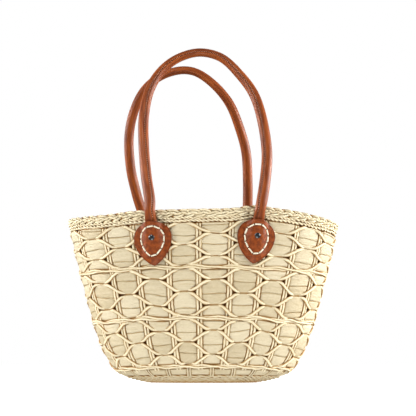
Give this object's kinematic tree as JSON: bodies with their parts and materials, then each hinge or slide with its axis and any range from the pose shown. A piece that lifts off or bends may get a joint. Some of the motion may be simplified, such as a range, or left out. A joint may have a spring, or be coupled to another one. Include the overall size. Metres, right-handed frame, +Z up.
{
  "type": "straw basket bag",
  "caption": "Oval woven husk basket bag with a plaited rim and round leather handles whose ends lie under riveted teardrop leather patches.",
  "frame": {"origin": "on the floor, under the middle of the basket", "axes": "+Z up; -Y is the front, where the forward handle is; +X is to the right seen from the front"},
  "size_m": [0.3477, 0.1735, 0.4266],
  "materials": {
    "woven_straw": "dry corn husk, woven, satin",
    "plaited_straw": "dry corn husk, plaited, satin",
    "handle_leather": "smooth tan leather, waxed",
    "patch_leather": "grained tan leather",
    "patch_thread": "thick waxed thread",
    "rivet_metal": "dark gunmetal, polished"
  },
  "bodies": {
    "root": {"basket_base": "woven_straw", "basket_wall": "woven_straw", "rim_plait": "plaited_straw", "handle_front": "handle_leather", "handle_back": "handle_leather", "patch_front_left": "patch_leather", "patch_front_right": "patch_leather", "patch_back_left": "patch_leather", "patch_back_right": "patch_leather", "rivet_front_left": "rivet_metal", "rivet_front_right": "rivet_metal", "rivet_back_left": "rivet_metal", "rivet_back_right": "rivet_metal"}
  },
  "joints": []
}
